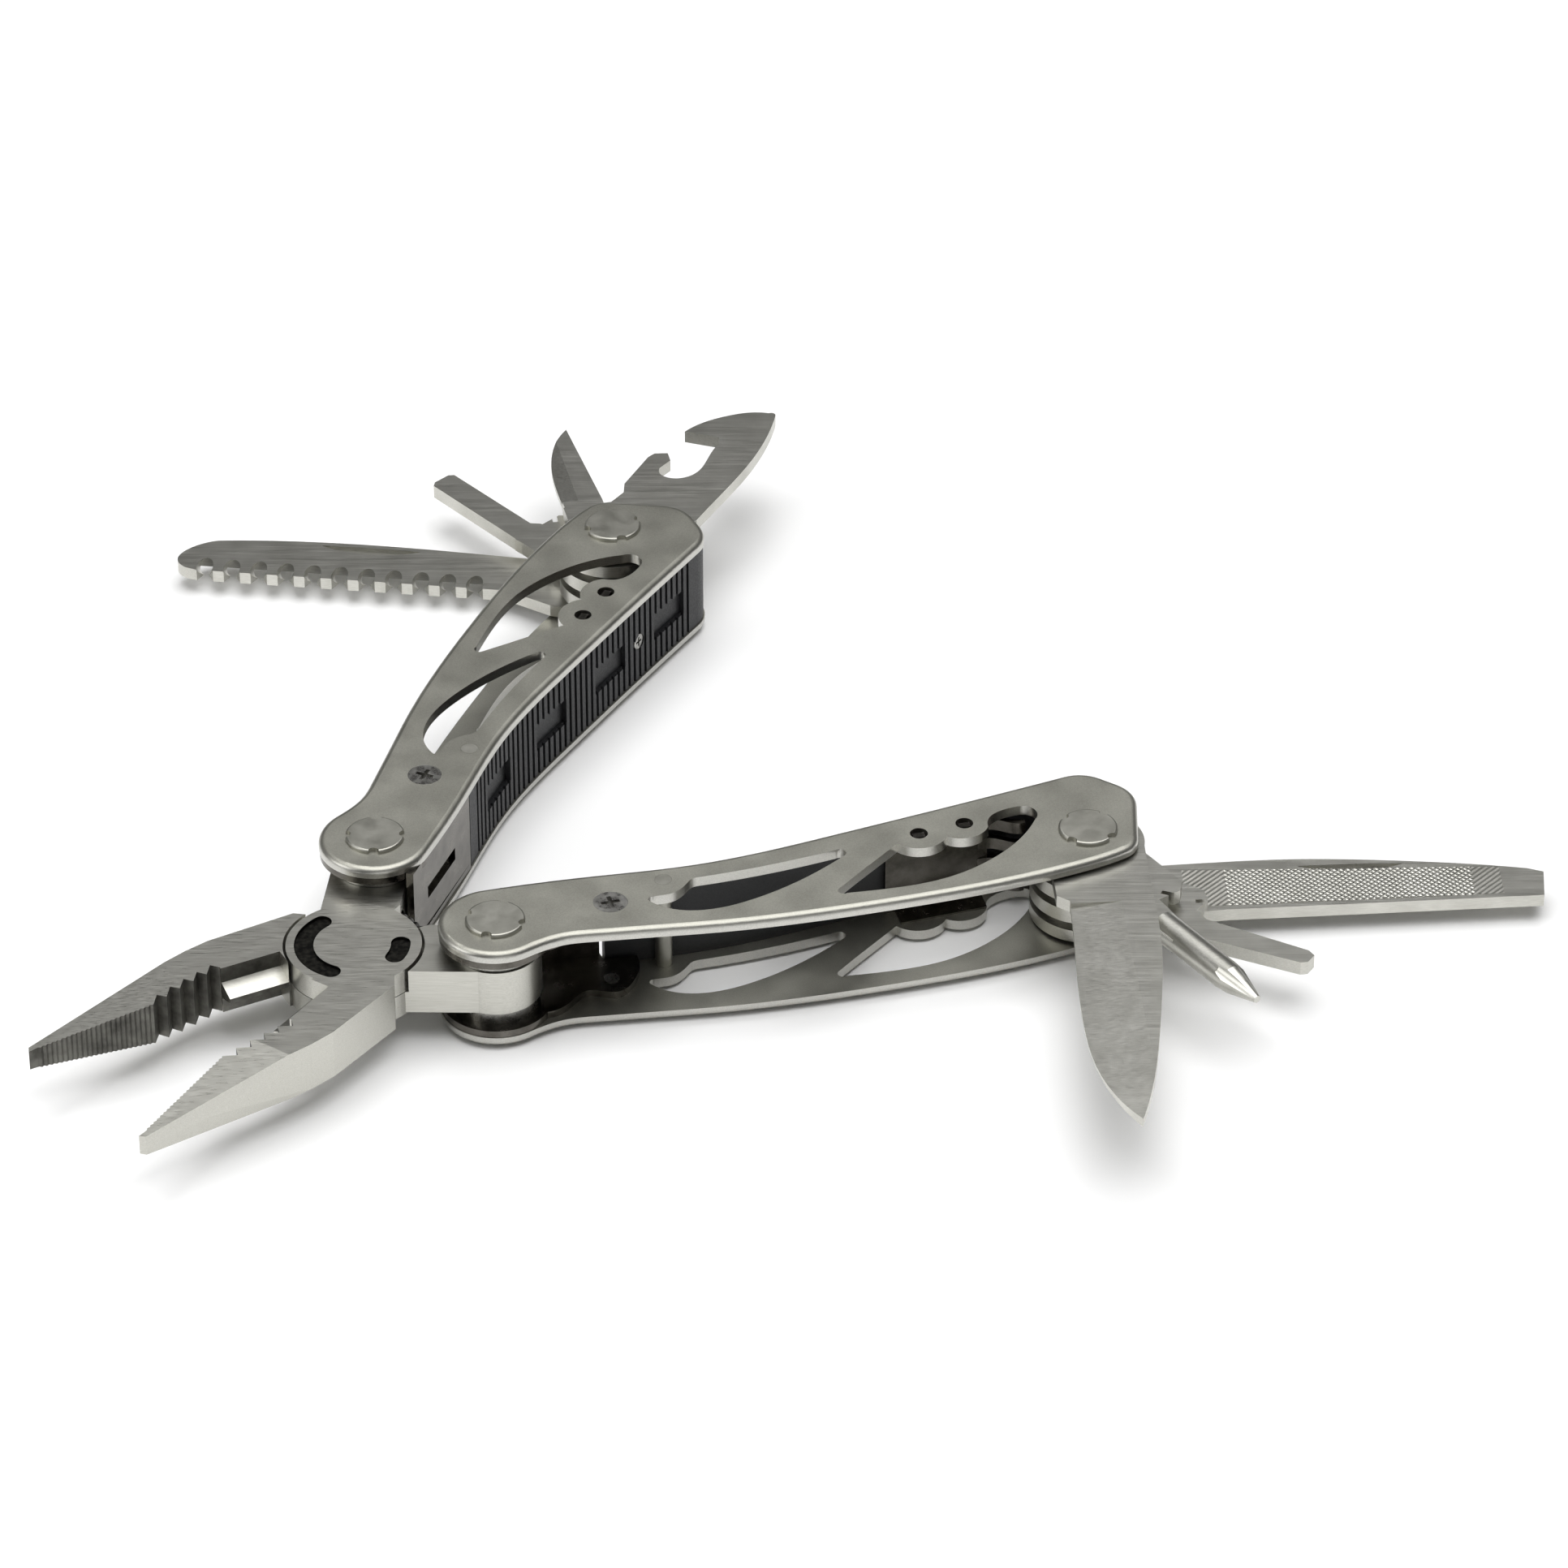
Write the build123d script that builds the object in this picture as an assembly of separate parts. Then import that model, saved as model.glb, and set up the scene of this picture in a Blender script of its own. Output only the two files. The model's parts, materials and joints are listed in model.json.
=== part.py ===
from build123d import *
import os
from math import atan2, cos, degrees, floor, radians, sin, tan

os.makedirs("parts", exist_ok=True)

# Spring-loaded pliers with two folding channel handles, each carrying four tools.
# Plier frame: hub axis at the origin, +X along the closed pliers towards the handles.
# Handle frame: tang pivot at the origin, +X towards the tool pivot, +Y towards the
# open side of the channel. All sizes in mm, angles in degrees.

# ---- heights through the tool ----
cap_rise = 0.6
plate_thickness = 1.5
channel_gap = 12.8
plate_low = cap_rise
inner_low = plate_low + plate_thickness
inner_high = inner_low + channel_gap
plate_high = inner_high + plate_thickness
total_height = plate_high + cap_rise
mid_height = total_height / 2

# ---- clearances ----
running_fit = 0.05
axial_play = 0.05
hub_gap = 0.4
seat_gap = 0.02

# ---- pliers ----
plier_direction = 41.4
jaw_opening = 29.3
hub_radius = 9.4
hub_thickness = 7.5
tang_thickness = 7.0
tang_reach = 19.6
tang_angle = 27.6
tang_end_radius = 6.3
tang_half_width = 5.9
tang_inner_width = 4.9
jaw_length = 48.2
jaw_tip_width = 1.5
jaw_tip_thickness = 2.8
taper_start = 25.0
pin_radius = 2.6
pin_head_radius = 4.4
pin_head_height = 1.2
pin_cover = 0.9
recess_depth = 0.5
recess_half_width = 1.35
grip_tooth_pitch = 2.25
grip_tooth_depth = 1.1
grip_tooth_count = 5
serration_pitch = 0.36
serration_depth = 0.22
cutter_height = 3.0
cutter_end = 18.6
cutter_hollow = 3.2

# ---- return spring ----
spring_wire_radius = 0.3
spring_radius = 1.25
spring_pitch = 1.35
spring_offset = 10.9
spring_pocket_depth = 3.4
pocket_radius = 1.75

# ---- handles ----
handle_lean = 12.05
pivot_spacing = 85.0
pivot_end_radius = 7.9
spine_waist = 6.4
open_side_bulge = 9.5
end_reach = 9.4
end_point_y = -7.5
shoulder = (pivot_spacing + 5.9, 5.0)
heel_round = 5.5
shoulder_round = 4.0
plate_edge_round = 0.9
pivot_barrel_radius = 2.7
pivot_bore_radius = 1.5
cap_radius = 4.15
cap_notch_radius = 0.75
cap_edge_round = 0.3
cap_stub_length = 3.0

screw_x = 16.36
screw_y = -0.25
screw_head_radius = 2.39
screw_head_height = 1.1
screw_shank_radius = 1.1
screw_slot_depth = 0.8
pin_x = 24.63
pin_y = -3.51
small_pin_radius = 1.22
tab_hole_radius = 1.26
tab_holes = [(61.87, -5.09), (68.67, -5.83)]

# ---- liner bracket at the plier end ----
liner_thickness = 1.1
liner_web_start = -4.4
liner_web_end = 16.0
liner_reach = 21.0
detent_slot_length = 10.0
detent_slot_height = 2.0
tang_washer_radius = 6.0

# ---- grip insert ----
grip_thickness = 1.6
grip_inset = 0.2
grip_start = 16.6
rib_band_start = 3.5
rib_pitch = 1.5
rib_depth = 0.5
grip_recess_count = 4
grip_recess_length = 8.4
grip_recess_height = 4.2
grip_recess_depth = 0.8
grip_screw_radius = 1.2
grip_screw_head = 0.35

# ---- spring bracket at the tool end ----
bracket_sheet = 0.8
bracket_flange = 0.3
bracket_start = 57.5
bracket_end = 73.0
finger_thickness = 1.8

# ---- tools ----
outer_tool_thickness = 2.0
inner_tool_thickness = 2.2
thin_washer = 0.4
thick_washer = 1.2
washer_radius = 6.2
base_radius = 8.0
saw_length = 66.5
saw_width = 9.6
saw_tooth_pitch = 4.1
saw_tooth_depth = 2.3
saw_tooth_count = 11
saw_grind_radius = 1.25
driver_length = 37.5
blade_length = 35.8
opener_length = 42.0
knife_length = 63.2
phillips_length = 38.4
phillips_radius = 2.15
flute_radius = 1.5
small_driver_length = 35.8
file_length = 65.2
nick_length = 15.0
nick_depth = 0.6
edge_thickness = 0.3

# angle of each tool from the handle axis, measured over the open side
saw_angle = 105.1
driver_angle = 67.2
blade_angle = 34.9
opener_angle = -13.0
knife_angle = 99.9
phillips_angle = 69.3
small_driver_angle = 46.8
file_angle = 12.2

handle_rest_lean = handle_lean + jaw_opening / 2
spring_seat = 4.3

# levels of the tool stack, from the top plate down
stack = []
level = inner_high
for kind, height in [
    ("washer", thin_washer), ("tool", outer_tool_thickness), ("washer", thick_washer),
    ("tool", inner_tool_thickness), ("washer", thick_washer), ("tool", inner_tool_thickness),
    ("washer", thick_washer), ("tool", outer_tool_thickness), ("washer", thin_washer),
]:
    stack.append((kind, level - height, level))
    level -= height
tool_levels = [(low, high) for kind, low, high in stack if kind == "tool"]
washer_levels = [(low, high) for kind, low, high in stack if kind == "washer"]

written = []


def polar(radius, angle):
    return (radius * cos(radians(angle)), radius * sin(radians(angle)))


def slab(face, low, high):
    """A flat outline drawn at height 0, raised into a solid between two heights."""
    return extrude(Pos(0, 0, low) * face, amount=high - low, dir=(0, 0, 1))


def disc(radius, low, high, x=0.0, y=0.0):
    return Pos(x, y, (low + high) / 2) * Cylinder(radius, high - low)


def ring(radius, bore, low, high, x=0.0, y=0.0):
    return disc(radius, low, high, x, y) - disc(bore, low - 1, high + 1, x, y)


def outline(*points):
    return make_face(Polyline(*points, close=True))


def slot_arc(radius, half_width, first, last):
    """A bent slot with round ends, following a circle about the origin."""
    middle = (first + last) / 2
    outer = ThreePointArc(
        polar(radius + half_width, first), polar(radius + half_width, middle),
        polar(radius + half_width, last))
    inner = ThreePointArc(
        polar(radius - half_width, last), polar(radius - half_width, middle),
        polar(radius - half_width, first))
    band = make_face([outer, Line(outer @ 1, inner @ 0), inner, Line(inner @ 1, outer @ 0)])
    ends = [Pos(*polar(radius, a)) * Circle(half_width) for a in (first, last)]
    return band + ends


# ------------------------------------------------------------------ pliers

def jaw_outline():
    """Plan of one jaw below the closing line, with its gripping profile."""
    closing_gap = 0.1
    points = [(0, -closing_gap), (-cutter_end, -closing_gap)]
    grip_end = cutter_end + grip_tooth_pitch * grip_tooth_count
    for tooth in range(grip_tooth_count + 1):
        reach = cutter_end + tooth * grip_tooth_pitch
        rise = cutter_hollow * (grip_end - reach) / (grip_end - cutter_end) + closing_gap
        points.append((-reach, -rise))
        if tooth < grip_tooth_count:
            points.append((-reach - grip_tooth_pitch * 0.45, -rise - grip_tooth_depth))
    ribs = floor((jaw_length - grip_end - 1) / serration_pitch)
    for rib in range(1, ribs):
        reach = grip_end + rib * serration_pitch
        points.append((-reach, -closing_gap - (serration_depth if rib % 2 else 0)))
    points += [
        (-jaw_length, -closing_gap),
        (-jaw_length + 0.5, -jaw_tip_width),
        (-21.5, -8.9),
        (-17.7, -9.7),
        (-4.6, -10.3),
        (0, -7.0),
    ]
    return outline(*points)


def tang_outline():
    """Plan of one tang, drawn along +X from the hub centre to the tang pivot."""
    inner_start = 1.0
    inner_slope = tan(radians(tang_angle))
    inner_turn = (tang_inner_width + 0.35) / inner_slope
    arm = outline(
        (0, tang_half_width), (tang_reach, tang_half_width), (tang_reach, -tang_inner_width),
        (inner_turn, -tang_inner_width), (inner_start, 0.35 - inner_start * inner_slope),
        (0, 0))
    return Rot(0, 0, tang_angle) * (arm + Pos(tang_reach, 0) * Circle(tang_end_radius))


def cutter_bevel(high):
    """Space above and below the wire cutter's wedge, which stands out of the jaw's wall."""
    start = hub_radius + hub_gap
    length = cutter_end - start
    wedge = Plane.YZ * outline(
        (0.5, mid_height + 0.4), (0.5, high + 1), (-cutter_height - 0.5, high + 1),
        (-cutter_height, high), (-cutter_height, mid_height + 1.3), (-0.1, mid_height + 0.4))
    wedge = Pos(-start - length, 0, 0) * extrude(wedge, amount=length, dir=(1, 0, 0))
    return wedge + mirror(wedge, about=Plane.XY.offset(mid_height))


def jaw_taper(high):
    """The wedge that thins the jaw towards its tip, above the middle plane."""
    tip_high = mid_height + jaw_tip_thickness / 2
    side = Plane.XZ * outline(
        (-taper_start, high), (-jaw_length - 1, tip_high), (-jaw_length - 1, high + 1),
        (-taper_start, high + 1))
    return extrude(side, amount=16, both=True)


def jaw_facet(high):
    """The sloping facet ground along the jaw's outer top edge, from shoulder to tip."""
    shoulder_point = Vector(-21.5, -8.9, high)
    tip_point = Vector(-jaw_length, -0.9, mid_height + jaw_tip_thickness / 2)
    side_point = Vector(-36.0, -4.8, mid_height + 0.5)
    along = tip_point - shoulder_point
    outward = along.cross(side_point - shoulder_point).normalized()
    if outward.Z < 0:
        outward = -outward
    facet = Plane(origin=shoulder_point, x_dir=along, z_dir=outward)
    block = facet * Box(80, 40, 20, align=(Align.CENTER, Align.CENTER, Align.MIN))
    return block & Pos(-21.5 - 20, 0, high) * Box(40, 40, 20)


def half_plier():
    """Tang, upper hub disc and lower jaw of the upper half, with the pliers closed."""
    low = mid_height - hub_thickness / 2
    high = mid_height + hub_thickness / 2
    tang_low = mid_height - tang_thickness / 2
    tang_high = mid_height + tang_thickness / 2
    jaw = slab(jaw_outline(), low, high)
    jaw -= jaw_taper(high)
    jaw -= mirror(jaw_taper(high), about=Plane.XY.offset(mid_height))
    jaw -= cutter_bevel(high)
    jaw -= jaw_facet(high)
    jaw -= mirror(jaw_facet(high), about=Plane.XY.offset(mid_height))
    body = jaw + slab(tang_outline(), tang_low, tang_high)
    body -= disc(hub_radius + hub_gap, low - 1, mid_height + axial_play)
    body += disc(hub_radius, mid_height + axial_play, high)
    body -= disc(pivot_barrel_radius + running_fit, low, high,
                 *polar(tang_reach, tang_angle))
    return body


def spring_pocket(side):
    """Pocket that seats one end of the return spring, at rest with the jaws open."""
    start = spring_seat - 1.5
    bore = Rot(-90 * side, 0, 0) * Cylinder(
        pocket_radius, spring_pocket_depth + 1.5, align=(Align.CENTER, Align.CENTER, Align.MIN))
    return Pos(spring_offset, side * start, mid_height) * bore


def opened(solid, side):
    """Turns a closed plier half to where it rests, half the jaw opening each way."""
    return Rot(0, 0, side * jaw_opening / 2) * solid


def top_jaw():
    high = mid_height + hub_thickness / 2
    body = half_plier()
    long_recess = slot_arc(6.9, recess_half_width, 76, 190)
    short_recess = slot_arc(6.5, recess_half_width, -83, -53)
    body -= slab(long_recess + short_recess, high - recess_depth, high + 1)
    body -= disc(pin_radius + running_fit, mid_height - 1, high - pin_cover)
    return opened(body, 1) - spring_pocket(1)


def under_jaw():
    low = mid_height - hub_thickness / 2
    body = Rot(180, 0, 0) * half_plier()
    body = Pos(0, 0, total_height) * body
    body -= disc(pin_radius + running_fit, low - 1, mid_height + 1)
    body -= disc(pin_head_radius + running_fit, low - 1, low + pin_head_height + axial_play)
    return opened(body, -1) - spring_pocket(-1)


def jaw_pivot_pin():
    low = mid_height - hub_thickness / 2
    high = mid_height + hub_thickness / 2 - pin_cover - axial_play
    head = disc(pin_head_radius, low, low + pin_head_height)
    slot = Pos(0, 0, low) * Box(5.0, 0.9, 1.0)
    return head + disc(pin_radius, low, high) - slot


def return_spring():
    length = 2 * (spring_seat + spring_pocket_depth - 0.9)
    path = Helix(pitch=spring_pitch, height=length - 2 * spring_wire_radius, radius=spring_radius)
    wire = sweep(Plane(origin=path @ 0, z_dir=path % 0) * Circle(spring_wire_radius), path=path,
                 is_frenet=True)
    along = Pos(0, 0, -(length - 2 * spring_wire_radius) / 2) * wire
    return Pos(spring_offset, 0, mid_height) * (Rot(90, 0, 0) * along)


# ------------------------------------------------------------------ handle plates

def spine_edge():
    """The back edge of the channel, from the tang pivot to the heel."""
    return Spline((0, -pivot_end_radius), (14, -7.4), (30, -spine_waist), (50, -8.3),
                  (70, -11.2), (pivot_spacing + 3.4, -14.1), tangents=[(1, 0), (1, -0.16)])


def open_edge():
    """The open edge of the channel, from the tool end back to the tang pivot."""
    return Spline(shoulder, (80, 7.9), (70, 9.0), (55, open_side_bulge), (30, 8.5), (20, 7.2),
                  (12, 6.15), polar(pivot_end_radius, 68),
                  tangents=[(-1, 0.5), (-sin(radians(68)), cos(radians(68)))])


def plate_outline():
    spine = spine_edge()
    open_side = open_edge()
    nose = ThreePointArc(open_side @ 1, (-pivot_end_radius, 0), (0, -pivot_end_radius))
    point = (pivot_spacing + end_reach, end_point_y)
    end = Polyline(spine @ 1, point, shoulder)
    plate = make_face([nose, spine, *end.edges(), open_side])
    corners = [plate.vertices().sort_by_distance(at)[0] for at in (spine @ 1, point)]
    plate = fillet(corners, heel_round)
    return fillet(plate.vertices().sort_by_distance(shoulder)[0], shoulder_round)


def leaf_window():
    """The slim window beside the plier end."""
    open_side = Spline((21.7, 1.0), (26, 4.3), (29.5, 4.9), (36, 4.0), (45, 0.5), (50.4, -2.6))
    tip = ThreePointArc(open_side @ 1, (50.7, -3.9), (49.6, -4.2))
    back = Spline(tip @ 1, (45, -3.6), (35, -2.85), (29.4, -2.8))
    step = Spline((29.4, -2.8), (27.4, -1.6), (25.2, -0.1), (22.4, 0.0),
                  tangents=[(-1, 0), (-1, 0)])
    near = ThreePointArc(step @ 1, (21.6, 0.4), open_side @ 0)
    return make_face([open_side, tip, back, step, near])


def long_window():
    """The large window beside the tool end, scalloped around the two tab holes."""
    near = ThreePointArc((47.6, 4.8), (47.4, 5.5), (48.5, 6.0))
    open_side = Spline((48.5, 6.0), (55, 6.5), (63, 6.0), (69, 3.9), (75, -0.1), (78.6, -4.3))
    far = ThreePointArc((78.6, -4.3), (79.2, -6.3), (77.4, -7.8))
    heel = Spline((77.4, -7.8), (75, -7.6), (72.8, -6.6), (71.7, -4.2))
    first = ThreePointArc((71.7, -4.2), (68.8, -2.3), (65.5, -3.3))
    second = ThreePointArc((65.5, -3.3), (61.8, -1.5), (58.3, -3.5))
    return make_face([near, open_side, far, heel, first, second,
                      Line((58.3, -3.5), (51.0, 2.1)), Line((51.0, 2.1), (47.6, 4.8))])


def handle_plate(low, outward):
    """One flat side of a channel; outward is +1 for the top plate, -1 for the bottom."""
    high = low + plate_thickness
    plate = slab(plate_outline(), low, high)
    outer = high if outward > 0 else low
    rim = [e for e in plate.edges() if abs(e.center().Z - outer) < 1e-4]
    plate = fillet(rim, plate_edge_round)
    plate -= slab(leaf_window() + long_window(), low - 1, high + 1)
    for x, y in [(0, 0), (pivot_spacing, 0)]:
        plate -= disc(pivot_barrel_radius + seat_gap, low - 1, high + 1, x, y)
    plate -= disc(small_pin_radius + seat_gap, low - 1, high + 1, pin_x, pin_y)
    for x, y in tab_holes:
        plate -= disc(tab_hole_radius, low - 1, high + 1, x, y)
    plate -= countersink(low if outward > 0 else high, outward, seat_gap)
    return plate


def countersink(inner, outward, gap):
    """Head and shank space of the assembly screw, through one plate."""
    outer = inner + outward * plate_thickness
    shank = disc(screw_shank_radius + gap, min(inner, outer) - 0.01, max(inner, outer) + 0.01,
                 screw_x, screw_y)
    cone = Cone(screw_shank_radius + gap, screw_head_radius + gap, screw_head_height,
                align=(Align.CENTER, Align.CENTER, Align.MAX))
    if outward < 0:
        cone = Rot(180, 0, 0) * cone
    return shank + Pos(screw_x, screw_y, outer) * cone


# ------------------------------------------------------------------ handle inner pieces

def barrel(x):
    return ring(pivot_barrel_radius, pivot_bore_radius, plate_low, plate_high, x)


def cap(x, outward, turn):
    """A low pivot cap with four notches in its rim and a stub in the barrel."""
    outer = plate_high if outward > 0 else plate_low
    body = disc(cap_radius, 0, cap_rise)
    body = fillet(body.edges().sort_by(Axis.Z)[-1], cap_edge_round)
    body += disc(pivot_bore_radius - seat_gap, -cap_stub_length, 0)
    for notch in range(4):
        body -= disc(cap_notch_radius, -0.01, cap_rise + 1, *polar(cap_radius, 90 * notch + turn))
    if outward < 0:
        body = Rot(180, 0, 0) * body
    return Pos(x, 0, outer) * body


def caps(x, turn):
    return [cap(x, 1, turn), cap(x, -1, turn)]


def assembly_screw(outward):
    inner = inner_high if outward > 0 else inner_low
    outer = inner + outward * plate_thickness
    tip = inner - outward * (liner_thickness + 0.1)
    body = countersink(inner, outward, 0)
    body += disc(screw_shank_radius, min(tip, inner), max(tip, inner), screw_x, screw_y)
    arm = Box(2.6, 0.6, 2 * screw_slot_depth)
    cross = Pos(screw_x, screw_y, outer) * (arm + Rot(0, 0, 90) * arm)
    return body - cross


def liner_flange(low):
    """Rounded cheek around the tang pivot, running on to the assembly screw."""
    cheek = Circle(pivot_end_radius - 0.1)
    tongue = make_face([
        *Polyline((0, -pivot_end_radius + 0.1), (liner_web_end, -7.2), (liner_web_end + 0.3, -5.0),
                  (liner_reach, -4.6)).edges(),
        Spline((liner_reach, -4.6), (liner_reach - 1.2, 0.2), (screw_x, 2.9), (12.5, 1.6),
               (9.5, 3.6), (6.0, 5.0)),
        Line((6.0, 5.0), (0, 0)), Line((0, 0), (0, -pivot_end_radius + 0.1))])
    flange = slab(cheek + tongue, low, low + liner_thickness)
    flange -= disc(pivot_barrel_radius + seat_gap, low - 1, low + 3)
    return flange - disc(screw_shank_radius + seat_gap, low - 1, low + 3, screw_x, screw_y)


def liner_bracket():
    """U-shaped liner: two cheeks joined by a slotted web along the spine."""
    body = liner_flange(inner_low) + liner_flange(inner_high - liner_thickness)
    web_top = -pivot_end_radius + 0.1
    web = outline(
        (liner_web_start, web_top), (liner_web_end, web_top + 0.6),
        (liner_web_end, web_top + 0.6 + liner_thickness), (10, web_top + liner_thickness + 0.3),
        (liner_web_start, web_top + liner_thickness))
    web = slab(web, inner_low, inner_high)
    slot = Pos(5.5, web_top, mid_height) * Box(detent_slot_length, 6, detent_slot_height)
    return body + (web - slot)


def tang_washers():
    tang_low = mid_height - tang_thickness / 2
    tang_high = mid_height + tang_thickness / 2
    bore = pivot_barrel_radius + seat_gap
    return [
        ring(tang_washer_radius, bore, inner_low + liner_thickness, tang_low - axial_play),
        ring(tang_washer_radius, bore, tang_high + axial_play, inner_high - liner_thickness)]


def cross_pin():
    return disc(small_pin_radius, plate_low, plate_high, pin_x, pin_y)


def spine_region(depth):
    """The channel's back, starting a given depth inside the spine and the heel."""
    edge = spine_edge().edge()
    count = 8
    first = grip_start / edge.length
    points = []
    for step in range(count):
        share = first + (1 - first) * step / count
        heading = edge.tangent_at(share)
        at = edge.position_at(share)
        points.append((at.X - heading.Y * depth, at.Y + heading.X * depth))
    heel = edge.position_at(1)
    along = edge.tangent_at(1)
    rise = Vector(pivot_spacing + end_reach - heel.X, end_point_y - heel.Y).normalized()
    inward = [Vector(-v.Y, v.X) for v in (along, rise)]
    corner = heel + (inward[0] + inward[1]) * (depth / (1 + inward[0].dot(inward[1])))
    back = Spline(*points, (corner.X, corner.Y))
    top = corner + rise * 9
    region = make_face([back, Line(back @ 1, (top.X, top.Y)), Line((top.X, top.Y), (grip_start, 0)),
                        Line((grip_start, 0), back @ 0)])
    inner_corner = region.vertices().sort_by_distance((corner.X, corner.Y))[0]
    return fillet(inner_corner, heel_round - depth)


def rib_run():
    """Length of the ribbed stretch of the grip, leaving a smooth band at each end."""
    return spine_edge().length - grip_start - rib_band_start - 3.0


def grip_place(distance):
    """Point and heading of the spine edge, a distance along it past the grip's start."""
    edge = spine_edge().edge()
    share = (grip_start + distance) / edge.length
    return edge.position_at(share), edge.tangent_at(share)


def grip_insert():
    """Ribbed black insert that closes the spine of the channel."""
    wall = spine_region(grip_inset) - spine_region(grip_inset + grip_thickness)
    keep = outline((grip_start, -20), (pivot_spacing + 12, -20), (pivot_spacing + 12, -10.9),
                   (pivot_spacing, -8.1), (grip_start, -3.5))
    wall = (wall & keep) - Pos(pivot_spacing, 0) * Circle(base_radius + hub_gap)
    body = slab(wall, inner_low + seat_gap, inner_high - seat_gap)
    grooves = []
    for rib in range(floor(rib_run() / rib_pitch)):
        at, heading = grip_place(rib_band_start + rib * rib_pitch)
        turn = degrees(atan2(heading.Y, heading.X))
        bar = Box(rib_pitch * 0.42, 2 * (rib_depth + grip_inset), channel_gap + 1)
        grooves.append(Pos(at.X, at.Y, mid_height) * (Rot(0, 0, turn) * bar))
    body -= grooves
    spacing = rib_run() / grip_recess_count
    for number in range(grip_recess_count):
        at, heading = grip_place(rib_band_start + (number + 0.5) * spacing)
        turn = degrees(atan2(heading.Y, heading.X))
        bar = Box(grip_recess_length, 2 * (grip_recess_depth + grip_inset), grip_recess_height)
        body -= Pos(at.X, at.Y, mid_height) * (Rot(0, 0, turn) * bar)
    return body - grip_screw(seat_gap)


def grip_screw(gap=0.0):
    """Small screw on the spine, between the last two recesses."""
    at, heading = grip_place(rib_band_start + rib_run() * 3 / grip_recess_count)
    turn = degrees(atan2(heading.Y, heading.X))
    top = -(grip_inset + rib_depth - grip_screw_head)
    head = Pos(0, 0, top - 0.6 - gap) * Cylinder(
        grip_screw_radius + gap, 0.6 + gap + (1.5 if gap else 0),
        align=(Align.CENTER, Align.CENTER, Align.MIN))
    shank = Cylinder(0.6 + gap, 1.4, align=(Align.CENTER, Align.CENTER, Align.MAX))
    body = head + Pos(0, 0, top) * shank
    if not gap:
        body -= Pos(0, 0, top) * (Box(1.5, 0.35, 0.7) + Box(0.35, 1.5, 0.7))
    return Pos(at.X, at.Y, mid_height) * (Rot(0, 0, turn) * (Rot(90, 0, 0) * body))


def spring_bracket():
    """Sheet bracket behind the tools, with tabs in the plates and a finger per tool."""
    inside = spine_region(grip_inset + grip_thickness + 0.1)
    wall = inside - spine_region(grip_inset + grip_thickness + 0.1 + bracket_sheet)
    wall &= outline((bracket_start, -20), (bracket_end, -20), (bracket_end, -4), (bracket_start, -4))
    web = slab(wall, inner_low, inner_high)
    tongue = inside & outline((bracket_start + 1.5, -20), (bracket_end - 1.2, -20),
                              (bracket_end - 1.2, -4.4), (bracket_start + 1.5, -3.7))
    body = web + slab(tongue, inner_low, inner_low + bracket_flange)
    body += slab(tongue, inner_high - bracket_flange, inner_high)
    for x, y in tab_holes:
        tab = Pos(x, y, 0) * Box(1.7, 1.1, plate_thickness)
        lift = plate_thickness / 2 + bracket_flange / 2 - 0.3
        body += Pos(0, 0, inner_high + lift - bracket_flange / 2) * tab
        body += Pos(0, 0, inner_low - lift + bracket_flange / 2) * tab
    finger = make_face([
        Line((bracket_end - 1.5, -9.45), (bracket_end + 0.4, -9.4)),
        Spline((bracket_end + 0.4, -9.4), (75.0, -8.6), (76.6, -7.5), (78.0, -7.3)),
        Line((78.0, -7.3), (77.8, -6.5)),
        Spline((77.8, -6.5), (76.2, -6.7), (74.6, -7.8), (bracket_end - 0.2, -8.6)),
        Line((bracket_end - 0.2, -8.6), (bracket_end - 1.5, -8.65)),
        Line((bracket_end - 1.5, -8.65), (bracket_end - 1.5, -9.45))])
    for low, high in tool_levels:
        middle = (low + high) / 2
        body += slab(finger, middle - finger_thickness / 2, middle + finger_thickness / 2)
    return body


def washer(number):
    low, high = washer_levels[number]
    return ring(washer_radius, pivot_barrel_radius + running_fit, low + axial_play,
                high - axial_play, pivot_spacing)


# ------------------------------------------------------------------ tools
# A tool is drawn along +X from its pivot; +Y is the side that faces the open side of
# the channel when the tool is folded away.

def tool_blank(level_index, face):
    low, high = tool_levels[level_index]
    body = slab(face, low + axial_play, high - axial_play)
    return body - disc(pivot_barrel_radius + running_fit, low - 1, high + 1)


def tool_base(x_end, open_side=8.0, inner_side=5.0):
    """Round end about the pivot, squared off towards the shank."""
    block = outline((0, -inner_side), (x_end, -inner_side), (x_end, open_side - 1.5),
                    (x_end - 1.5, open_side), (0, open_side))
    return Circle(base_radius) + block


def nail_nick(x, y, level_index):
    """Crescent cut that a finger nail catches."""
    high = tool_levels[level_index][1]
    face = make_face([
        ThreePointArc((x - nick_length / 2, y), (x, y - 1.6), (x + nick_length / 2, y)),
        ThreePointArc((x + nick_length / 2, y), (x, y + 0.2), (x - nick_length / 2, y))])
    return slab(face, high - axial_play - nick_depth, high + 1)


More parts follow.
